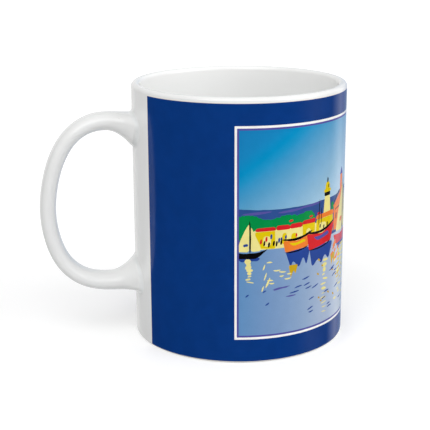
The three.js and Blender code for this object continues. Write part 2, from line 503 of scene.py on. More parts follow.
def ink_material(name, tint):
    """One printed colour, slightly darker in places."""
    shader = Shader(name)
    drift = shader.cloud(INK_DRIFT, spread=0.1)
    return ink_finish(shader, shader.mix(drift, opaque(tint), opaque(tint, DRIFT_SHADE)))


# The sky's display colours, by the share of the way from the upper left corner down and
# across, and how fast it pales across, next to how fast it pales down.
SKY_STOPS = (
    (0.0, (25, 126, 186)),
    (0.06, (22, 133, 191)),
    (0.092, (0, 143, 197)),
    (0.109, (28, 147, 199)),
    (0.126, (54, 149, 199)),
    (0.16, (86, 158, 201)),
    (0.21, (119, 172, 209)),
    (0.26, (144, 186, 214)),
    (0.31, (171, 204, 228)),
    (0.42, (196, 216, 232)),
    (0.7, (112, 168, 200)),
    (1.0, (50, 140, 188)),
)
SKY_SLANT = 0.73

# The water's display colours, by the share of the way across the picture.
WATER_STOPS = (
    (0.0, (99, 146, 194)),
    (0.07, (116, 150, 193)),
    (0.13, (129, 158, 196)),
    (0.185, (143, 167, 199)),
    (0.24, (164, 181, 208)),
    (0.3, (177, 191, 213)),
    (0.36, (197, 208, 218)),
    (0.62, (150, 174, 202)),
    (1.0, (99, 144, 190)),
)


def graded_ink(shader, share, stops):
    """An ink whose colour follows a share through stops of display values."""
    return ink_finish(shader, shader.ramp(share, [(at, display(*tint)) for at, tint in stops]))


def sky_material(name, width, height):
    """Deep cyan in the upper left, paler across and down."""
    shader = Shader(name)
    chart = shader.split(shader.node("ShaderNodeUVMap", uv_map="print").outputs["UV"])
    right = shader.math("MULTIPLY", chart["X"], width * SKY_SLANT)
    down = shader.math("MULTIPLY", shader.math("SUBTRACT", 1.0, chart["Y"]), height)
    reach = shader.math("DIVIDE", shader.math("ADD", right, down), width * SKY_SLANT + height)
    return graded_ink(shader, reach, SKY_STOPS)


def water_material(name):
    """Harbour water, grey-blue at the left and paler towards the middle."""
    shader = Shader(name)
    chart = shader.split(shader.node("ShaderNodeUVMap", uv_map="print").outputs["UV"])
    return graded_ink(shader, chart["X"], WATER_STOPS)


# ------------------------------------------------------------------ the cup

# How deeply the glaze pools, from 0 on bare clay to 1 in the corners.
BARE = 0.0
THIN = 0.1
EDGE = 0.2
OPEN = 0.3
DEEP = 0.4
POOLED = 1.0

# The recess's sloping corner, where its glaze starts to pool, the foot ring's flat, the
# faces up the wall, over the rim and round the inside corner, the value above which a face
# is bare clay, and how near two points are welded.
RECESS_CORNER = 1.6 * MM
POOL_WIDTH = 2 * MM
FOOT_FLAT_MARGIN = 1.2 * MM
WALL_STEPS = 8
RIM_STEPS = 32
CORNER_STEPS = 16
CLAY_THRESHOLD = 0.6
WELD = 0.001 * MM


def cup_profile(sizes):
    """The cup's section as (radius, height, glaze depth, bare) from under the floor to inside."""
    rim = sizes.rim_width / 2
    recess = sizes.foot_recess
    recess_edge = sizes.foot_inner - sizes.foot_corner - RECESS_CORNER
    wall_inside = CUP_RADIUS - sizes.wall_at_rim
    floor_inside = CUP_RADIUS - sizes.wall_at_floor
    corner = sizes.inside_corner
    profile = []

    def run(points, depth=OPEN, bare=0.0):
        profile.extend((radius, height, depth, bare) for radius, height in points)

    run([(0.0, recess), (recess_edge * 0.5, recess)])
    run([(recess_edge - POOL_WIDTH, recess)], DEEP)
    run([(recess_edge, recess)], POOLED)
    foot = (sizes.foot_inner, sizes.foot_corner)
    run(arc(foot, sizes.foot_corner, 200, 225, 2), EDGE)
    run(arc(foot, sizes.foot_corner, 235, 270, 4), BARE, 1.0)
    heel = (CUP_RADIUS - sizes.heel, sizes.heel)
    run([(heel[0] - FOOT_FLAT_MARGIN, 0.0)], BARE, 1.0)
    run(arc(heel, sizes.heel, -90, -70, 3), BARE, 1.0)
    run(arc(heel, sizes.heel, -64, 0, 10), EDGE)
    heights = np.linspace(sizes.heel, CUP_HEIGHT - rim, WALL_STEPS + 1)[1:-1]
    run([(CUP_RADIUS, height) for height in heights])
    run(arc((CUP_RADIUS - rim, CUP_HEIGHT - rim), rim, 0, 180, RIM_STEPS), THIN)
    top_inside = CUP_HEIGHT - 2 * sizes.rim_width
    run([(wall_inside, top_inside)])
    slope = (wall_inside - floor_inside) / (top_inside - sizes.floor_top - corner)
    for share in (0.25, 0.5, 0.75):
        height = top_inside + (sizes.floor_top + corner - top_inside) * share
        run([(wall_inside - slope * (top_inside - height), height)])
    bend = arc((floor_inside - corner, sizes.floor_top + corner), corner, 0, -90, CORNER_STEPS)
    for step, point in enumerate(bend):
        run([point], OPEN + (POOLED - OPEN) * math.sin(math.pi * step / CORNER_STEPS))
    run([(floor_inside - 2 * corner, sizes.floor_top), (0.0, sizes.floor_top)])
    return profile


def inside_share(radius, height, sizes):
    """0 outside the cup, 1 inside it, rising over the inner half of the rim."""
    half_rim = sizes.rim_width / 2
    share = min(max((CUP_RADIUS - half_rim - radius) / half_rim, 0.0), 1.0)
    return share * (height >= sizes.floor_top)


TURNING_INPUTS = {
    "Profile": "Geometry",
    "Turning Radius": "Float",
    "Steps": "Int",
    "Axis Position": "Vector",
    "Glaze": "Material",
    "Bare Clay": "Material",
}


def turning_tree():
    """Geometry nodes that turn a profile about the cup's axis and give it its materials."""
    tree = bpy.data.node_groups.new("Turned Cup", "GeometryNodeTree")
    for name, kind in TURNING_INPUTS.items():
        tree.interface.new_socket(name, in_out="INPUT", socket_type=f"NodeSocket{kind}")
    tree.interface.new_socket("Cup", in_out="OUTPUT", socket_type="NodeSocketGeometry")
    nodes = Nodes(tree)

    def step(kind, inputs, **settings):
        """Adds a node and gives its first output."""
        return nodes.node(kind, inputs, **settings).outputs[0]

    given = nodes.node("NodeGroupInput").outputs
    outline = step("GeometryNodeMeshToCurve", {"Mesh": given["Profile"]})
    round_axis = {"Resolution": given["Steps"], "Radius": given["Turning Radius"]}
    circle = step("GeometryNodeCurvePrimitiveCircle", round_axis, mode="RADIUS")
    upright = step("GeometryNodeSetCurveNormal", {"Curve": circle}, mode="Z_UP")
    swept = step("GeometryNodeCurveToMesh", {"Curve": upright, "Profile Curve": outline})
    merged = step("GeometryNodeMergeByDistance", {"Geometry": swept, "Distance": WELD})
    outward = step("GeometryNodeFlipFaces", {"Mesh": merged})
    to_axis = {"Geometry": outward, "Translation": given["Axis Position"]}
    smooth = step("GeometryNodeSetShadeSmooth", {0: step("GeometryNodeTransform", to_axis)})
    realized = step("GeometryNodeRealizeInstances", {"Geometry": smooth})
    bare = step("GeometryNodeInputNamedAttribute", {"Name": "bare"}, data_type="FLOAT")
    compare = {"data_type": "FLOAT", "operation": "GREATER_THAN"}
    is_bare = step("FunctionNodeCompare", {0: bare, 1: CLAY_THRESHOLD}, **compare)
    glazed = step("GeometryNodeSetMaterial", {"Geometry": realized, "Material": given["Glaze"]})
    clay = {"Geometry": glazed, "Selection": is_bare, "Material": given["Bare Clay"]}
    nodes.node("NodeGroupOutput", {"Cup": step("GeometryNodeSetMaterial", clay)})
    return tree


def socket_names(tree):
    """The identifier of each of a tree's named inputs."""
    return {
        item.name: item.identifier
        for item in tree.interface.items_tree
        if item.item_type == "SOCKET" and item.in_out == "INPUT"
    }


class MUG_OT_build_cup(bpy.types.Operator):
    """Turns the cup from its profile, glazed all over but for the foot ring"""

    bl_idname = "mug.build_cup"
    bl_label = "Build Cup"

    def execute(self, context):
        sizes = context.scene.mug_cup
        colours = context.scene.mug_colours
        turning_radius = CUP_RADIUS / 2
        profile = cup_profile(sizes)
        source = bpy.data.meshes.new("cup_profile")
        points = [(radius - turning_radius, -height, 0.0) for radius, height, _, _ in profile]
        source.from_pydata(points, [(i, i + 1) for i in range(len(points) - 1)], [])
        set_point_values(source, "glaze_depth", [depth for _, _, depth, _ in profile])
        set_point_values(source, "bare", [bare for _, _, _, bare in profile])
        # Where the inside's painted light is blended in, rising over the inner half of the rim.
        inside = [inside_share(radius, height, sizes) for radius, height, _, _ in profile]
        set_point_values(source, "inside", inside)
        maker = add_object(context, "cup_maker", source)
        turning = maker.modifiers.new("Turning", "NODES")
        turning.node_group = turning_tree()
        names = socket_names(turning.node_group)
        turning[names["Turning Radius"]] = turning_radius
        turning[names["Steps"]] = sizes.turning_steps
        turning[names["Axis Position"]] = (CUP_AXIS, 0.0, 0.0)
        turning[names["Glaze"]] = glaze_material("white_glaze", colours.glaze, colours.inner_glaze)
        turning[names["Bare Clay"]] = clay_material("bare_clay", colours.clay)
        mesh = bpy.data.meshes.new_from_object(
            maker.evaluated_get(context.evaluated_depsgraph_get())
        )
        bpy.data.objects.remove(maker)
        finish_piece(add_object(context, "glazed_cup", mesh), "white_glaze", "cup_body")
        return {"FINISHED"}


# ------------------------------------------------------------------ the handle

# The strap's centre line, as distances from the cup's axis and heights.
HANDLE_LINE = [
    (36.5, 82.3),
    (46.0, 83.5),
    (54.5, 83.4),
    (62.4, 79.4),
    (68.6, 70.8),
    (72.1, 59.5),
    (73.1, 49.5),
    (71.7, 38.8),
    (67.1, 28.7),
    (60.0, 23.1),
    (52.5, 21.4),
    (45.0, 21.4),
    (36.5, 21.6),
]

# How sharply each flare opens towards the wall, the share of a line's length over which
# its direction is taken, and how often a search halves its range.
FLARE_SIDEWAYS_POWER = 2.6
FLARE_INWARD_POWER = 1.9
TANGENT_STEP = 0.001
HALVINGS = 40


class SmoothLine:
    """A curve through points with no kink or sudden change of bend, by its share of length."""

    def __init__(self, points):
        self.points = np.array(points)
        steps = np.linalg.norm(np.diff(self.points, axis=0), axis=1)
        self.stations = np.concatenate(([0.0], np.cumsum(steps)))
        count = len(points)
        system = np.eye(count)
        bends = np.zeros((count, 2))
        for i in range(1, count - 1):
            before, after = steps[i - 1], steps[i]
            system[i, i - 1 : i + 2] = (before, 2 * (before + after), after)
            rise = (self.points[i + 1] - self.points[i]) / after
            bends[i] = 6 * (rise - (self.points[i] - self.points[i - 1]) / before)
        self.bends = np.linalg.solve(system, bends)

    def at(self, share):
        """The point at a share of the length, from 0 to 1."""
        station = share * self.stations[-1]
        last = len(self.stations) - 2
        i = int(np.clip(np.searchsorted(self.stations, station) - 1, 0, last))
        step = self.stations[i + 1] - self.stations[i]
        b = (station - self.stations[i]) / step
        a = 1 - b
        curved = (a**3 - a) * self.bends[i] + (b**3 - b) * self.bends[i + 1]
        return a * self.points[i] + b * self.points[i + 1] + curved * step**2 / 6

    def outwards(self, share):
        """The direction away from the loop's middle, square to the line."""
        tangent = self.at(share + TANGENT_STEP) - self.at(share - TANGENT_STEP)
        tangent /= np.linalg.norm(tangent)
        return np.array((-tangent[1], tangent[0]))


class Strap:
    """The handle's surface, by the share of its length and the angle round its section."""

    def __init__(self, sizes):
        self.sizes = sizes
        self.line = SmoothLine([(reach * MM, height * MM) for reach, height in HANDLE_LINE])

    def section(self, centre):
        """How far the strap reaches outwards, into the loop and to each side."""
        sizes = self.sizes
        distance = centre[0] - CUP_RADIUS
        thick = min(max(1 - distance / sizes.thickening_reach, 0.0), 1.0)
        spread = min(max(1 - distance / sizes.flare_reach, 0.0), 1.0)
        upper = centre[1] > CUP_HEIGHT / 2
        into_loop = sizes.upper_into_loop if upper else sizes.lower_into_loop
        sideways = sizes.upper_sideways if upper else sizes.lower_sideways
        half = sizes.half_thickness + sizes.root_thickening * thick**2 * (3 - 2 * thick)
        side = sizes.half_width + sideways * spread**FLARE_SIDEWAYS_POWER
        return half, half + into_loop * spread**FLARE_INWARD_POWER, side

    def point(self, share, angle):
        """(distance out, sideways, height) from the cup's axis, square to the handle."""
        centre = self.line.at(share)
        outer, inner, side = self.section(centre)
        power = 2 / self.sizes.squareness
        lift = math.copysign(abs(math.cos(angle)) ** power, math.cos(angle))
        lift *= outer if lift > 0 else inner
        across = math.copysign(abs(math.sin(angle)) ** power, math.sin(angle)) * side
        out, height = centre + self.line.outwards(share) * lift
        return out, across, height

    def height_above_wall(self, share, angle):
        """How far a point stands off the cup's wall."""
        out, across, _ = self.point(share, angle)
        return math.hypot(out, across) - CUP_RADIUS

    def share_at_height(self, height, angle, near, far):
        """The share where the surface stands that far off the wall, found by halving."""
        for _ in range(HALVINGS):
            middle = (near + far) / 2
            if self.height_above_wall(middle, angle) < height:
                near = middle
            else:
                far = middle
        return (near + far) / 2

    def placed(self, share, angle):
        """The surface point in the mug's frame: the handle points along -X."""
        out, across, height = self.point(share, angle)
        return Vector((CUP_AXIS - out, across, height))


def closed_tube(rings):
    """Points and faces of a tube of rings, closed at both ends."""
    count = len(rings[0])
    points = [point for ring in rings for point in ring]
    faces = []
    for i in range(len(rings) - 1):
        for j in range(count):
            k = (j + 1) % count
            faces.append((i * count + j, i * count + k, (i + 1) * count + k, (i + 1) * count + j))
    faces.append(tuple(range(count))[::-1])
    faces.append(tuple(range((len(rings) - 1) * count, len(rings) * count)))
    return points, faces


# Where each root starts on the strap, and a share beyond its flare.
ROOTS = {"upper": (0.0, 0.12), "lower": (1.0, 0.88)}

# The strap's faces round its section, along its loop and along each root, how the rings
# crowd towards the wall, and how far the ends are sunk in it.
HANDLE_SIDES = 96
LOOP_STEPS = 150
ROOT_STEPS = 40
ROOT_EASING = 1.4
ROOT_SUNK = 0.4 * MM

# How deep the glaze lies on the strap, where nothing makes it pool.
PLAIN_GLAZE_DEPTH = 0.25


def root_angles(count):
    """Angles round the strap's section."""
    return [2 * math.pi * j / count for j in range(count)]


class MUG_OT_build_handle(bpy.types.Operator):
    """Sweeps the handle's strap round its loop, flared where it meets the wall"""

    bl_idname = "mug.build_handle"
    bl_label = "Build Handle"

    def execute(self, context):
        sizes = context.scene.mug_handle
        strap = Strap(sizes)
        angles = root_angles(HANDLE_SIDES)
        starts = [strap.share_at_height(-ROOT_SUNK, a, *ROOTS["upper"]) for a in angles]
        ends = [strap.share_at_height(-ROOT_SUNK, a, *ROOTS["lower"]) for a in angles]
        middle = np.linspace(ROOTS["upper"][1], ROOTS["lower"][1], LOOP_STEPS + 1)
        easing = [(step / ROOT_STEPS) ** ROOT_EASING for step in range(ROOT_STEPS)]
        rows = [[start + (middle[0] - start) * ease for start in starts] for ease in easing]
        rows += [[share] * HANDLE_SIDES for share in middle]
        rows += [[end + (middle[-1] - end) * ease for end in ends] for ease in easing[::-1]]
        rings = [[strap.placed(share, a) for share, a in zip(row, angles)] for row in rows]
        points, faces = closed_tube(rings)
        glaze = glaze_material("handle_glaze", context.scene.mug_colours.glaze)
        piece = mesh_object(context, "loop_handle", points, faces, [glaze])
        set_point_values(piece.data, "glaze_depth", [PLAIN_GLAZE_DEPTH] * len(points))
        finish_piece(piece, "white_glaze", "handle")
        return {"FINISHED"}


# The fillet's faces round the root and across it, how far its hidden back is sunk, how
# high its edges lie and how far they reach, next to the fillet's size, where its slope on
# the strap is taken, and how strongly it keeps to the wall and to the strap.
SLIP_SIDES = 120
SLIP_STEPS = 12
SLIP_BACK = 0.3 * MM
SLIP_EDGE_LIFT = 0.012 * MM
SLIP_EDGE_REACH = 1.15
SLIP_TANGENT_REACH = 0.9
SLIP_PULL = 0.6


def slip_fillet(strap, root, size):
    """Rings round a root: each runs over the fillet from the wall up onto the strap."""
    angles = root_angles(SLIP_SIDES)
    near, far = ROOTS[root]
    feet = [strap.point(strap.share_at_height(0.0, a, near, far), a) for a in angles]
    flat = np.array([(math.atan2(across, out) * CUP_RADIUS, height) for out, across, height in feet])
    along = np.roll(flat, -1, axis=0) - np.roll(flat, 1, axis=0)
    away = np.stack((along[:, 1], -along[:, 0]), axis=1)
    away /= np.linalg.norm(away, axis=1)[:, None]
    if np.sum(away * (flat - flat.mean(axis=0))) < 0:
        away = -away

    def wall_point(j, offset, height):
        place = flat[j] + away[j] * offset
        return on_wall(math.pi - place[0] / CUP_RADIUS, place[1], CUP_RADIUS + height)

    def strap_point(j, height):
        return strap.placed(strap.share_at_height(height, angles[j], near, far), angles[j])

    rows = []
    for j in range(SLIP_SIDES):
        foot = wall_point(j, 0.0, 0.0)
        low = wall_point(j, size, 0.0)
        top = strap_point(j, size)
        above = strap_point(j, size * SLIP_EDGE_REACH)
        below = strap_point(j, size * SLIP_TANGENT_REACH)
        leaving = low + (foot - low) * SLIP_PULL
        arriving = top + (below - top).normalized() * (foot - top).length * SLIP_PULL
        row = [wall_point(j, -SLIP_BACK, -SLIP_BACK)]
        row.append(wall_point(j, size * SLIP_EDGE_REACH, SLIP_EDGE_LIFT))
        for step in range(SLIP_STEPS + 1):
            t = step / SLIP_STEPS
            bend = leaving * 3 * t * (1 - t) ** 2 + arriving * 3 * t**2 * (1 - t)
            row.append(low * (1 - t) ** 3 + bend + top * t**3)
        lift = (above - wall_point(j, -SLIP_BACK, size)).normalized() * SLIP_EDGE_LIFT
        row[-1] += lift
        row.append(above + lift)
        rows.append(row)
    return rows


class MUG_OT_build_slip_joints(bpy.types.Operator):
    """Smooths a fillet of slip round each root of the handle"""

    bl_idname = "mug.build_slip_joints"
    bl_label = "Build Slip Joints"

    def execute(self, context):
        sizes = context.scene.mug_handle
        strap = Strap(sizes)
        glaze = glaze_material("slip_glaze", context.scene.mug_colours.glaze)
        for root in ROOTS:
            rows = slip_fillet(strap, root, sizes.slip_fillet)
            count = len(rows[0])
            points, faces = closed_ring(rows)
            piece = mesh_object(context, f"{root}_slip_fillet", points, faces, [glaze])
            make_outward(piece.data)
            part_shading(piece.data, count)
            depths = [slip_depth(k, count) for k in range(count)]
            set_point_values(piece.data, "glaze_depth", depths * len(rows))
            finish_piece(piece, "glazed_slip", f"{root}_slip_joint")
        return {"FINISHED"}


def part_shading(mesh, count):
    """Keeps the hidden back of a ring out of the shading of its front."""
    hard = mesh.attributes.new("sharp_edge", "BOOLEAN", "EDGE")
    for edge, flag in zip(mesh.edges, hard.data):
        start, end = (index % count for index in edge.vertices)
        flag.value = start == end and start in (1, count - 1)


def slip_depth(place, count):
    """How deeply the glaze pools across the fillet: most in its middle."""
    middle = math.sin(math.pi * min(max((place - 1) / (count - 2), 0.0), 1.0)) ** 2
    return PLAIN_GLAZE_DEPTH + (1 - PLAIN_GLAZE_DEPTH) * middle


def closed_ring(rows):
    """Points and faces of rows that close on themselves and on each other."""
    count = len(rows[0])
    points = [point for row in rows for point in row]
    faces = []
    for i in range(len(rows)):
        this, following = i * count, (i + 1) % len(rows) * count
        for k in range(count):
            m = (k + 1) % count
            faces.append((this + k, this + m, following + m, following + k))
    return points, faces


def make_outward(mesh):
    """Turns a closed mesh's faces out if they point in."""
    volume = 0.0
    for polygon in mesh.polygons:
        corners = [mesh.vertices[index].co for index in polygon.vertices]
        for a, b in zip(corners[1:], corners[2:]):
            volume += corners[0].dot(a.cross(b))
    if volume < 0:
        mesh.flip_normals()


# ------------------------------------------------------------------ the artwork


class Artwork:
    """Flat patches of ink in millimetres, painted in order, drawn as if by hand."""

    def __init__(self, width, height, seed):
        self.width = width
        self.height = height
        self.dice = random.Random(seed)
        self.patches = []

    def patch(self, ink, points, shake=0.0, soft=0.0):
        """A patch whose corners stray a little and are rounded off by the brush."""
        stray = self.dice.uniform
        moved = [Vector((x + stray(-shake, shake), y + stray(-shake, shake))) for x, y in points]
        for cut in (soft, soft / 2) if soft else ():
            rounded = []
            for a, b in zip(moved, moved[1:] + moved[:1]):
                share = min(0.3, cut / max((b - a).length, 0.01))
                rounded += [a.lerp(b, share), b.lerp(a, share)]
            moved = rounded
        area = sum(a.x * b.y - b.x * a.y for a, b in zip(moved, moved[1:] + moved[:1]))
        self.patches.append((ink, moved if area > 0 else moved[::-1]))

    def block(self, ink, left, right, low, high, shake=0.12, soft=0.3):
        """An upright four-sided patch."""
        self.patch(ink, [(left, low), (right, low), (right, high), (left, high)], shake, soft)

    def stroke(self, ink, points, width, blunt=0.5):
        """A brush stroke along points, narrower at its ends."""
        line = SmoothLine(points)
        steps = 5 + 2 * len(points)
        upper, lower = [], []
        for i in range(1, steps):
            share = i / steps
            half = width / 2 * math.sin(math.pi * share) ** blunt * self.dice.uniform(0.85, 1.1)
            centre, away = line.at(share), line.outwards(share)
            upper.append(tuple(centre + away * half))
            lower.append(tuple(centre - away * half))
        self.patch(ink, [tuple(line.at(0)), *upper, tuple(line.at(1)), *lower[::-1]])

    def dabs(self, ink, places, start, end, width, blunt):
        """The same short stroke at several places, from and to a little way off each."""
        for x, y in places:
            points = [(x + start[0], y + start[1]), (x + end[0], y + end[1])]
            self.stroke(ink, points, width, blunt)

    def band(self, ink, low, tops, lumps=0.12):
        """A patch with a level foot and a smooth, uneven top edge through points."""
        line = SmoothLine(tops)
        steps = 8 * len(tops)
        edge = [tuple(line.at(i / steps)) for i in range(steps + 1)]
        edge = [(x, y + self.dice.uniform(-lumps, lumps)) for x, y in edge]
        self.patch(ink, [(tops[0][0], low), (tops[-1][0], low), *edge[::-1]], 0.0, 0.35)

    def ragged(self, ink, left, right, top, depth, teeth, soft=0.9):
        """A patch with a level top and uneven teeth below, as a reflection has."""
        count = 2 * teeth
        edge = []
        for i in range(1, count):
            reach = self.dice.uniform(0.65, 1.0) if i % 2 else self.dice.uniform(0.25, 0.55)
            shift = self.dice.uniform(-0.35, 0.35) * (right - left) / count
            edge.append((left + (right - left) * i / count + shift, top - depth * reach))
        self.patch(ink, [(left, top), *edge, (right, top)], 0.0, soft)

    def scatter(self, ink, count, area, size, lean, width=0.55):
        """Short strokes strewn over an area (left, right, low, high)."""
        left, right, low, high = area
        for _ in range(count):
            x, y = self.dice.uniform(left, right), self.dice.uniform(low, high)
            reach = size * self.dice.uniform(0.6, 1.2) / 2
            rise = reach * (lean + self.dice.uniform(-0.12, 0.12))
            bow = self.dice.uniform(-0.25, 0.25)
            self.stroke(ink, [(x - reach, y - rise), (x, y + bow), (x + reach, y + rise)], width)

    def ladder(self, ink, x, top, bottom, width, count):
        """Level dabs under each other, as a bright tower's reflection breaks up."""
        for i in range(count):
            y = top + (bottom - top) * (i + 0.5) / count
            half = width * self.dice.uniform(0.22, 0.55)
            shift = self.dice.uniform(-0.7, 0.7)
            tall = self.dice.uniform(0.7, 2.0) * (1.15 - i / count)
            lean = self.dice.uniform(-0.3, 0.4)
            self.stroke(ink, [(x + shift - half, y - lean), (x + shift + half, y + lean)], tall, 0.4)

    def house(self, left, right, low, eaves, wall, roof, windows=0, glass="black"):
        """A quay house: a wall, a sloping roof edge, a lit patch and a row of windows."""
        self.block(wall, left, right, low, eaves, 0.25)
        eave = [(left - 0.4, eaves - 0.1), (right + 0.4, eaves)]
        self.patch(roof, [*eave, (right, eaves + 1.6), (left, eaves + 1.4)], 0.22, 0.5)
        lit = "cream" if wall == "yellow" else "yellow"
        start = left + (right - left) * self.dice.uniform(0.1, 0.5)
        self.block(lit, start, start + (right - left) * 0.4, low + 0.8, eaves - 1.6, 0.4, 0.7)
        for i in range(windows):
            x = left + (right - left) * (i + 1) / (windows + 1)
            y = low + (eaves - low) * self.dice.uniform(0.45, 0.6)
            self.stroke(glass, [(x, y - 0.8), (x + 0.15, y + 0.7)], 0.75, 0.35)

    def sailing_boat(self, x, y, size, hull, sail, stripe):
        """A sloop, bow to the right, with two filled sails and its reflection."""

        def at(across, up):
            return x + across * size, y + up * size

        self.ragged("deep", at(-6.5, 0)[0], at(5.0, 0)[0], at(0, -1.4)[1], 3.2 * size, 3)
        mainsail = [at(-0.9, 1.2), at(-0.6, 15.6), at(-3.0, 11.6), at(-5.2, 6.8), at(-6.8, 1.7)]
        self.patch(sail, mainsail, 0.15, 0.6)
        jib = [at(0.1, 1.5), at(-0.1, 14.2), at(2.2, 9.4), at(4.2, 5.0), at(5.4, 1.6)]
        self.patch(sail, jib, 0.15, 0.6)
        self.stroke(stripe, [at(-3.6, 4.4), at(-1.2, 4.9)], 1.4 * size, 0.3)
        self.stroke("black", [at(-0.4, 0), at(-0.2, 8), at(-0.6, 16.8)], 0.85 * size, 0.3)
        deck = [at(8.6, 2.6), at(3.4, 1.0), at(-3.0, 0.5), at(-8.2, 1.0)]
        self.patch(hull, [at(-6.8, -1.9), at(2.4, -2.1), at(4.6, -1.0), *deck], 0.1, 0.4)
        self.ladder(sail, at(-0.6, 0)[0], at(0, -2.6)[1], at(0, -14.5)[1], 4.0 * size, 8)

    def fishing_boat(self, x, y, length, depth, hull, inside, mast=0.0):
        """An open boat, bow to the right, its rail picked out in black."""

        def at(share, up):
            return x + share * length / 2, y + up * depth

        self.ragged("deep", at(-0.85, 0)[0], at(0.95, 0)[0], at(0, -0.2)[1], depth + 3.6, 3)
        if mast:
            self.stroke("black", [at(-0.25, 1), at(-0.2, mast)], 0.45, 0.25)
            self.stroke("black", [at(-0.05, 1), at(-0.08, mast * 0.8)], 0.35, 0.25)
        outline = [at(0.74, -0.1), at(-0.85, -0.35), at(-1.0, 0.62), at(0.0, 0.5), at(1.05, 1.0)]
        self.patch(hull, outline, 0.15, 0.4)
        boards = [at(-0.3, 0.1), at(0.6, 0.3), at(0.45, 0.52), at(-0.1, 0.36), at(-0.6, 0.4)]
        self.patch(inside, boards, 0.2, 0.5)
        rail = [at(-1.05, 0.72), at(-0.4, 0.62), at(0.1, 0.66), at(1.1, 1.1)]
        self.stroke("black", rail, 1.0, 0.35)
        self.stroke("black", [at(-0.88, -0.36), at(0.0, -0.34), at(0.78, -0.1)], 0.6, 0.35)

    def lighthouse(self, x, low, high):
        """A tapering tower with a dark gallery and a domed lantern."""
        gallery = high - 6.4
        tower = [(x - 2.5, low), (x + 2.5, low), (x + 1.7, gallery), (x - 1.7, gallery)]
        self.patch("cream", tower, 0.08, 0.2)
        self.block("yellow", x - 2.2, x + 2.3, gallery + 1.3, gallery + 2.6, 0.1)
        self.block("black", x - 1.9, x + 1.9, gallery, gallery + 1.3, 0.1)
        lantern = [(x - 1.4, gallery + 2.4), (x + 1.4, gallery + 2.4)]
        dome = [(x + 1.3, high - 1.9), (x, high - 0.8), (x - 1.3, high - 1.9)]
        self.patch("yellow", lantern + dome, 0.08, 0.4)
        self.stroke("black", [(x + 0.8, gallery + 2.8), (x + 0.7, high - 2.2)], 0.5, 0.3)
        self.stroke("black", [(x, high - 1.7), (x + 0.05, high + 0.5)], 0.9, 0.6)


# The hills' top edge, the trees' at the near end and the trees' at the far end.
HILL_LINE = [
    *((-1, 47.3), (12, 46.9), (26, 46.9), (38, 47.3), (52, 48.2), (66, 50.6)),
    *((82, 47.6), (96, 46.2), (110, 48.4), (126, 50.2), (143, 47.0)),
]
TREE_LINE = [
    *((-1, 44.2), (3.5, 45.0), (8, 43.8), (13, 43.3), (17, 44.3), (21, 43.9)),
    *((24, 44.1), (27, 44.6), (29, 44.0), (30.5, 41.5)),
]
WOOD_LINE = [
    *((60, 43.0), (66, 45.2), (73, 44.0), (80, 45.8)),
    *((88, 43.4), (97, 44.9), (106, 42.8), (112, 44.0)),
]
WATER_LINE = 33.0


def paint_shore(art):
    """Hills with streaks of light along them, trees in front, and red roofs among those."""
    art.band("hill", 32.8, HILL_LINE)
    streaks = ((1, 12, 45.4), (14, 25, 45.4), (23, 34, 46.2), (64, 78, 46.8), (100, 118, 46.2))
    for left, right, y in streaks:
        art.stroke("heather", [(left, y), ((left + right) / 2, y + 0.3), (right, y + 0.7)], 0.9)
    art.band("green", 36.0, TREE_LINE, 0.3)
    art.band("green", 36.0, WOOD_LINE, 0.3)
    roofs = ((18.6, 41.9), (27.5, 42.2), (31.5, 42.6), (72, 42.4), (86, 43.0))
    art.dabs("red", roofs, (0, 0), (1.7, 0.2), 0.8, 0.4)


def paint_near_quay(art):
    """Low quay houses, then the lighthouse behind a tall house and an orange hall."""
    art.block("cream", 5.0, 32.0, 32.4, 39.4, 0.2)
    art.house(6.0, 13.2, 32.6, 38.9, "yellow", "red")
    art.house(13.8, 19.0, 32.8, 39.2, "cream", "red", 2, "deep")
    art.house(19.2, 24.0, 33.0, 39.2, "cream", "red", 1, "red")
    art.house(24.4, 30.4, 33.2, 39.8, "yellow", "red", 1)
    doors = ((9.0, 34.6), (10.7, 34.0), (12.5, 34.4), (13.6, 34.2), (15.4, 34.6))
    art.dabs("black", doors, (0, -1.1), (0.3, 1.0), 0.75, 0.4)
    art.dabs("red", ((7.8, 35.4), (9.8, 36.2)), (0, -1.1), (0.2, 0.9), 0.8, 0.4)
    art.dabs("deep", ((11.6, 37.0), (14.6, 35.4)), (0, -1.1), (0.2, 0.9), 0.8, 0.4)

    art.block("green", 40.4, 42.4, 42.0, 45.2, 0.3, 0.6)
    art.lighthouse(37.4, 40.4, 54.8)
    art.house(31.0, 42.0, 33.8, 40.6, "yellow", "orange", 4)
    art.block("orange", 42.4, 56.5, 34.0, 43.6, 0.2)
    art.patch("orange", [(41.8, 43.2), (47.8, 47.6), (56.9, 43.2)], 0.15, 0.3)
    art.stroke("black", [(41.8, 43.8), (47.8, 48.2), (56.6, 43.8)], 0.7, 0.3)
    art.stroke("black", [(43.2, 41.6), (48.6, 42.3), (55.6, 41.7)], 0.6, 0.4)
    art.block("orange", 48.4, 51.2, 45.4, 54.2, 0.1)
    art.patch("heather", [(48.0, 54.0), (49.8, 56.8), (51.5, 54.0)], 0.1, 0.2)
    art.dabs("black", ((44.6, 37.8), (47.4, 37.8)), (0, 0), (0.1, 2.6), 0.9, 0.3)


def paint_far_quay(art):
    """More houses, and a mole with its posts and a second lighthouse."""
    art.house(62.5, 70.0, 32.8, 40.6, "cream", "red", 3, "deep")
    art.house(70.6, 76.0, 32.8, 42.4, "yellow", "red", 2)
    art.house(77.0, 86.5, 32.8, 39.6, "orange", "red", 4)
    art.house(87.2, 93.0, 32.8, 41.4, "cream", "orange", 2)
    art.house(94.0, 104.0, 32.8, 38.8, "yellow", "red", 4, "deep")
    art.block("cream", 105.0, 140.0, 32.4, 34.8, 0.15)
    art.lighthouse(132.0, 34.6, 50.0)
    posts = [(x, 30.6) for x in (108, 113, 118, 123, 128, 137)]
    art.dabs("black", posts, (0, 0), (0.2, 4.0), 0.7, 0.25)


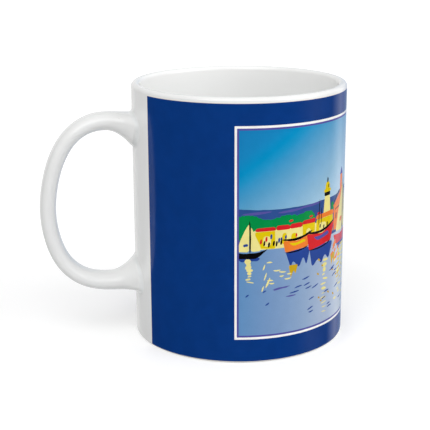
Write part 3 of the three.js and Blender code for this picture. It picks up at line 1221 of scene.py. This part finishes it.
def paint_boats(art):
    """Fishing boats along the quay, and sailing boats in front of them."""
    art.fishing_boat(22.4, 32.0, 12.5, 4.6, "orange", "yellow")
    art.fishing_boat(34.4, 31.8, 16.0, 6.2, "red", "heather", 2.6)
    art.fishing_boat(76.0, 29.6, 14.0, 4.8, "green", "yellow", 3.0)
    art.fishing_boat(97.5, 28.4, 15.5, 5.0, "red", "cream")
    art.sailing_boat(4.2, 30.6, 0.75, "black", "cream", "deep")
    art.sailing_boat(53.4, 30.6, 1.3, "red", "cream", "orange")
    art.sailing_boat(116.5, 23.0, 1.0, "orange", "cream", "red")
    art.sailing_boat(86.6, 24.6, 0.6, "black", "yellow", "red")


def paint_ripples(art):
    """The bright buildings' reflections, and light and shade on the water."""
    art.ladder("cream", 36.6, 25.0, 3.0, 3.4, 12)
    art.ladder("yellow", 48.4, 25.5, 12.0, 4.0, 8)
    art.ladder("yellow", 57.5, 27.0, 6.0, 5.0, 9)
    art.ladder("cream", 132.0, 30.0, 12.0, 4.0, 9)
    for left, right in ((18.6, 22.6), (40.5, 44.5), (79.0, 82.5), (100.0, 104.0)):
        art.ragged("mustard", left, right, 25.4, 5.2, 2, 0.4)
    art.scatter("orange", 9, (41.5, 47.5, 21.0, 29.0), 2.4, 0.8, 1.3)
    art.scatter("cream", 8, (10.5, 19.0, 19.0, 28.5), 2.6, 0.0)
    art.scatter("cream", 5, (7.5, 12.5, 15.0, 27.0), 0.9, 3.0, 0.5)
    art.scatter("mustard", 14, (32.0, 52.0, 8.0, 27.0), 1.5, -0.6, 0.8)
    art.scatter("deep", 18, (20.0, 50.0, 4.0, 20.5), 3.8, 0.2)
    art.scatter("heather", 3, (10.0, 20.0, 12.0, 19.0), 6.5, 0.08)
    art.scatter("deep", 3, (3.0, 14.0, 8.0, 20.0), 2.0, 0.7)
    art.scatter("deep", 34, (50.0, 138.0, 3.0, 20.0), 4.6, 0.1)
    art.scatter("cream", 16, (66.0, 136.0, 8.0, 24.0), 2.6, 0.0)
    art.scatter("cream", 14, (43.0, 62.0, 6.0, 27.0), 2.6, 0.1, 0.9)


HARBOUR_SEED = 11


def harbour(width, height):
    """A made-up harbour: hills, trees, a quay with houses, a lighthouse, boats and ripples."""
    art = Artwork(width, height, HARBOUR_SEED)
    art.patch("sky", [(0, 0), (width, 0), (width, height), (0, height)])
    art.patch("water", [(-1, -1), (width + 1, -1), (width + 1, WATER_LINE), (-1, WATER_LINE)])
    paint_shore(art)
    paint_near_quay(art)
    paint_far_quay(art)
    paint_boats(art)
    paint_ripples(art)
    return art


# ------------------------------------------------------------------ the print


# How near two points of the artwork are one, in millimetres, and how far the film's own
# ends stay clear of its upright edges, in columns.
SAME_POINT = 1e-5
COLUMN_CLEARANCE = 0.01


def cut_patches(art, columns, rows):
    """Cuts overlapping patches into triangles, each with the ink that ends up on top."""
    points, edges, faces = [], [], []
    for _, patch in art.patches:
        faces.append(list(range(len(points), len(points) + len(patch))))
        points.extend(patch)
    for x in columns:
        edges.append((len(points), len(points) + 1))
        points.extend((Vector((x, 0.0)), Vector((x, art.height))))
    for y in rows:
        edges.append((len(points), len(points) + 1))
        points.extend((Vector((0.0, y)), Vector((art.width, y))))
    places, _, triangles, _, _, owners = delaunay_2d_cdt(points, edges, faces, 0, SAME_POINT)
    kept = []
    for corners, owner in zip(triangles, owners):
        if 0 not in owner:
            continue
        ink = art.patches[max(owner)][0]
        if ink is not None:
            kept.append((corners, ink))
    return places, kept


def wall_normal(angle, height, heel):
    """The direction that the cup's wall faces at a place."""
    drop = min(max((heel - height) / heel, 0.0), 1.0) if heel else 0.0
    level = math.sqrt(1 - drop**2)
    return Vector((math.cos(angle) * level, math.sin(angle) * level, -drop))


def open_edges(faces, inks):
    """The edges that only one face has, each with that face's ink."""
    edges = {}
    for corners, ink in zip(faces, inks):
        for a, b in zip(corners, corners[1:] + corners[:1]):
            if (b, a) in edges:
                del edges[(b, a)]
            else:
                edges[(a, b)] = ink
    return edges


def upright_lines(art, start, column):
    """Where the film's upright edges run across the artwork, so that it follows the wall."""
    end = start + art.width * MM / PRINT_RADIUS
    first = math.ceil(start / column + COLUMN_CLEARANCE)
    last = math.floor(end / column - COLUMN_CLEARANCE)
    return [(k * column - start) * PRINT_RADIUS / MM for k in range(first, last + 1)]


def print_film(context, name, art, start, low, rows, inks):
    """Wraps the artwork round the cup as a thin closed film, starting at an angle and a height."""
    sizes = context.scene.mug_print
    heel = context.scene.mug_cup.heel
    places, triangles = cut_patches(art, upright_lines(art, start, sizes.column), rows)
    used = sorted({corner for corners, _ in triangles for corner in corners})
    index = {corner: i for i, corner in enumerate(used)}
    count = len(used)
    spots = [(start + places[c].x * MM / PRINT_RADIUS, low + places[c].y * MM) for c in used]
    outer = [on_wall(a, z, wall_radius(z, heel) + sizes.film) for a, z in spots]
    inner = [on_wall(a, z, wall_radius(z, heel) - sizes.bedding) for a, z in spots]
    names = list(inks)
    inked = [names.index(ink) for _, ink in triangles]
    front = [[index[c] for c in corners] for corners, _ in triangles]
    back = [[c + count for c in corners[::-1]] for corners in front]
    rim = open_edges(front, inked)
    sides = [(b, a, a + count, b + count) for a, b in rim]
    slots = inked + inked + list(rim.values())
    piece = mesh_object(
        context, name, outer + inner, front + back + sides, list(inks.values()), slots
    )

    mesh = piece.data
    mesh.polygons.foreach_set("use_smooth", [i < len(front) for i in range(len(mesh.polygons))])
    chart = mesh.uv_layers.new(name="print")
    normals = [Vector()] * len(mesh.loops)
    for polygon in mesh.polygons:
        for loop in polygon.loop_indices:
            corner = mesh.loops[loop].vertex_index % count
            spot = places[used[corner]]
            chart.data[loop].uv = (spot.x / art.width, spot.y / art.height)
            if polygon.index < len(front):
                normals[loop] = wall_normal(*spots[corner], heel)
    mesh.normals_split_custom_set(normals)
    return piece


def frame_art(width, height, *rings):
    """Rectangles inside each other: each is (inset, ink), and one with no ink is a hole."""
    art = Artwork(width, height, 0)
    for (left, low, right, high), ink in rings:
        far, top = width - right, height - high
        art.patch(ink, [(left, low), (far, low), (far, top), (left, top)])
    return art


# Where the print's level edges run on the rounded heel, and how far the ground stands in
# from the coating's level edges, next to its upright ones.
HEEL_ROWS = (0.55, 0.7, 0.85, 1.0)
LEVEL_MARGIN = 0.8

# The whole of a film, as an inset, and the bordered picture's sides in millimetres.
WHOLE = (0.0, 0.0, 0.0, 0.0)
BORDER_WIDTH = 2 * BORDER_HALF_ANGLE * PRINT_RADIUS / MM
BORDER_HEIGHT = (BORDER_HIGH[2] - BORDER_LOW[2]) / MM


def print_ground(context, sizes, colours):
    """The coating and the blue ground, with a window for the picture."""
    margin = sizes.coat_margin / MM
    low = sizes.film_foot
    width = 2 * WRAP_HALF_ANGLE * PRINT_RADIUS / MM
    height = (WRAP_HIGH[2] - low) / MM
    left = width / 2 - BORDER_HALF_ANGLE * PRINT_RADIUS / MM
    window = (left, (BORDER_LOW[2] - low) / MM, left, (WRAP_HIGH[2] - BORDER_HIGH[2]) / MM)
    edge = (margin, margin * LEVEL_MARGIN) * 2
    art = frame_art(width, height, (WHOLE, "coating"), (edge, "ground"), (window, None))
    looks = {
        "coating": glaze_material("print_coating", colours.coating),
        "ground": ink_material("ground_ink", colours.ground),
    }
    heel = context.scene.mug_cup.heel
    rows = [share * heel / MM - low / MM for share in HEEL_ROWS]
    wrap = print_film(context, "blue_ground", art, -WRAP_HALF_ANGLE, low, rows, looks)
    finish_piece(wrap, "blue_ground_print", "blue_wrap")


def print_lines(context, white, both, colours):
    """The white line and the violet one inside it, round a window for the picture."""
    rings = ((WHOLE, "white"), ((white,) * 4, "violet"), ((both,) * 4, None))
    art = frame_art(BORDER_WIDTH, BORDER_HEIGHT, *rings)
    looks = {
        "white": ink_material("white_line_ink", colours.white_line),
        "violet": ink_material("violet_line_ink", colours.violet_line),
    }
    start, low = -BORDER_HALF_ANGLE, BORDER_LOW[2]
    lines = print_film(context, "picture_lines", art, start, low, [], looks)
    finish_piece(lines, "border_print", "picture_border")


def print_picture(context, inset, inks):
    """The harbour picture, inside the two lines."""
    width = BORDER_WIDTH - 2 * inset
    height = BORDER_HEIGHT - 2 * inset
    looks = {
        "sky": sky_material("sky_ink", width * MM, height * MM),
        "water": water_material("water_ink"),
    }
    for ink in MugInks.__annotations__:
        looks[ink] = ink_material(f"{ink}_ink", getattr(inks, ink))
    start = -BORDER_HALF_ANGLE + inset * MM / PRINT_RADIUS
    low = BORDER_LOW[2] + inset * MM
    art = harbour(width, height)
    picture = print_film(context, "harbour_picture", art, start, low, [], looks)
    finish_piece(picture, "picture_print", "picture_panel")


class MUG_OT_build_print(bpy.types.Operator):
    """Prints the blue ground, the lines round the picture and the harbour picture"""

    bl_idname = "mug.build_print"
    bl_label = "Build Print"

    def execute(self, context):
        sizes = context.scene.mug_print
        colours = context.scene.mug_colours
        white = sizes.white_line / MM
        both = white + sizes.violet_line / MM
        print_ground(context, sizes, colours)
        print_lines(context, white, both, colours)
        print_picture(context, both, context.scene.mug_inks)
        return {"FINISHED"}


# ------------------------------------------------------------------ the stage

# The heights, as shares of the way up a sphere, between which the walls give way to the
# studio's ceiling.
CEILING_STARTS = 0.1
CEILING_FILLS = 0.6

# The studio's colour in the glaze, by the direction in degrees from +X towards +Y.
STUDIO_WALLS = (
    (-180.0, (0.0, 0.0, 0.0)),
    (-50.0, (0.0, 0.0, 0.0)),
    (-35.0, (0.05, 0.05, 0.05)),
    (-15.0, (0.35, 0.35, 0.33)),
    (5.0, (0.14, 0.14, 0.12)),
    (15.0, (0.06, 0.06, 0.06)),
    (25.0, (0.55, 0.6, 0.68)),
    (35.0, (0.82, 0.84, 0.92)),
    (45.0, (0.38, 0.42, 0.58)),
    (55.0, (0.28, 0.36, 0.52)),
    (75.0, (0.42, 0.49, 0.58)),
    (90.0, (0.75, 0.75, 0.75)),
    (110.0, (0.67, 0.67, 0.67)),
    (135.0, (0.12, 0.12, 0.12)),
    (155.0, (0.02, 0.02, 0.02)),
    (180.0, (0.0, 0.0, 0.0)),
)

# The camera's sensor, in millimetres, and how near and far it sees, in metres.
SENSOR_WIDTH = 36.0
NEAREST_SEEN = 0.01
FURTHEST_SEEN = 50.0

# The floor's finish. Its clouds are this wide in metres.
FLOOR_CLOUD_SIZE = 0.12
FLOOR_SHADES = (0.695, 0.705)
FLOOR_ROUGHNESS = 0.9
FLOOR_SPECULAR = 0.1


class MUG_OT_build_stage(bpy.types.Operator):
    """Sets up a pale floor, soft studio light and the camera"""

    bl_idname = "mug.build_stage"
    bl_label = "Build Stage"

    def execute(self, context):
        stage = context.scene.mug_stage
        half = stage.floor_size / 2
        corners = [(-half, -half, 0.0), (half, -half, 0.0), (half, half, 0.0), (-half, half, 0.0)]
        look = floor_material("pale_floor", stage.floor_lift)
        floor = mesh_object(context, "floor", corners, [(0, 1, 2, 3)], [look])
        self.light_world(context, stage)
        self.add_sun(context, "key_light", stage.key_light, stage.key_side, stage.key_height)
        self.add_sun(context, "side_light", stage.side_light, stage.side_side, stage.side_height)
        self.place_camera(context, stage)
        context.scene.view_settings.view_transform = "Standard"
        return {"FINISHED"}

    def add_sun(self, context, name, power, side, height):
        """A wide, far light that stands to one side of the mug at a height."""
        light = bpy.data.lights.new(name, "SUN")
        light.energy = power
        light.angle = context.scene.mug_stage.light_spread
        level = math.cos(height)
        towards = Vector((level * math.sin(side), -level * math.cos(side), math.sin(height)))
        add_object(context, name, light).rotation_euler = towards.to_track_quat("Z", "Y").to_euler()

    def light_world(self, context, stage):
        """An even dome of light, white in the camera and a dark studio in the glaze."""
        world = bpy.data.worlds.new("studio")
        context.scene.world = world
        world.use_nodes = True
        nodes = Nodes(world.node_tree)
        dome = nodes.tree.nodes["Background"]
        nodes.feed(dome.inputs["Color"], WHITE)
        nodes.feed(dome.inputs["Strength"], stage.dome)
        inputs = {"Color": self.mirrored_studio(nodes, stage), "Strength": stage.mirrored}
        mirrored = nodes.node("ShaderNodeBackground", inputs).outputs[0]
        backdrop = nodes.node("ShaderNodeBackground", {"Color": WHITE}).outputs[0]
        ray = nodes.node("ShaderNodeLightPath").outputs
        around = nodes.mix_shaders(ray["Is Glossy Ray"], dome.outputs[0], mirrored)
        chosen = nodes.mix_shaders(ray["Is Camera Ray"], around, backdrop)
        nodes.feed(nodes.tree.nodes["World Output"].inputs["Surface"], chosen)

    def mirrored_studio(self, nodes, stage):
        """The studio's colour in each direction round the mug, and overhead."""
        place = nodes.split(nodes.node("ShaderNodeTexCoord").outputs["Object"])
        turn = nodes.math("ARCTAN2", place["Y"], place["X"])
        stops = [(degrees / 360 + 0.5, tint) for degrees, tint in STUDIO_WALLS]
        walls = nodes.ramp(nodes.between(turn, -math.pi, math.pi), stops)
        overhead = nodes.between(place["Z"], CEILING_STARTS, CEILING_FILLS)
        return nodes.mix(overhead, walls, opaque([stage.mirrored_top] * 3))

    def place_camera(self, context, stage):
        """Stands the camera on the -Y side, a little towards the handle, looking down."""
        camera = bpy.data.cameras.new("camera")
        camera.lens = stage.lens
        camera.sensor_width = SENSOR_WIDTH
        camera.clip_start = NEAREST_SEEN
        camera.clip_end = FURTHEST_SEEN
        placed = add_object(context, "camera", camera)
        x = CUP_AXIS - stage.camera_distance * math.sin(stage.camera_side)
        y = -stage.camera_distance * math.cos(stage.camera_side)
        turn = Matrix.Rotation(-stage.camera_turn, 4, "Z")
        tilt = Matrix.Rotation(math.pi / 2 - stage.camera_tilt, 4, "X")
        roll = Matrix.Rotation(-stage.camera_roll, 4, "Z")
        placed.matrix_world = Matrix.Translation((x, y, stage.camera_height)) @ turn @ tilt @ roll
        context.scene.camera = placed


def floor_material(name, lift):
    """A pale matt table top, lifted towards white for the camera and left out of the glaze."""
    shader = Shader(name)
    shades = [opaque([shade] * 3) for shade in FLOOR_SHADES]
    shader.set(Base_Color=shader.mix(shader.cloud(FLOOR_CLOUD_SIZE), *shades))
    shader.set(Roughness=FLOOR_ROUGHNESS, Specular_IOR_Level=FLOOR_SPECULAR)
    ray = shader.node("ShaderNodeLightPath").outputs
    lifted = shader.math("MULTIPLY", ray["Is Camera Ray"], lift)
    shader.set(Emission_Color=WHITE, Emission_Strength=lifted)
    clear = shader.node("ShaderNodeBsdfTransparent").outputs[0]
    chosen = shader.mix_shaders(ray["Is Glossy Ray"], shader.surface.outputs[0], clear)
    shader.feed(shader.tree.nodes["Material Output"].inputs["Surface"], chosen)
    return shader.material


# ------------------------------------------------------------------ the add-on

OPERATORS = (
    MUG_OT_build_cup,
    MUG_OT_build_handle,
    MUG_OT_build_slip_joints,
    MUG_OT_build_print,
    MUG_OT_build_stage,
)


class MUG_PT_maker(bpy.types.Panel):
    """Lists the mug's steps and their settings."""

    bl_idname = "MUG_PT_maker"
    bl_label = "Printed Mug"
    bl_space_type = "VIEW_3D"
    bl_region_type = "UI"
    bl_category = "Mug"

    def draw(self, context):
        for operator in OPERATORS:
            self.layout.operator(operator.bl_idname)
        for slot, group in PROPERTY_SLOTS.items():
            box = self.layout.box()
            for name in group.__annotations__:
                box.prop(getattr(context.scene, slot), name)


def register():
    """Registers every class and hangs the settings on the scene."""
    for kind in (*PROPERTY_SLOTS.values(), *OPERATORS, MUG_PT_maker):
        bpy.utils.register_class(kind)
    for slot, group in PROPERTY_SLOTS.items():
        setattr(bpy.types.Scene, slot, bpy.props.PointerProperty(type=group))


def unregister():
    """Takes the settings and the classes away again."""
    for slot in PROPERTY_SLOTS:
        delattr(bpy.types.Scene, slot)
    for kind in (MUG_PT_maker, *OPERATORS[::-1], *list(PROPERTY_SLOTS.values())[::-1]):
        bpy.utils.unregister_class(kind)


def main():
    """Builds every piece in order."""
    register()
    for operator in OPERATORS:
        area, name = operator.bl_idname.split(".")
        getattr(getattr(bpy.ops, area), name)()


if __name__ == "__main__":
    main()
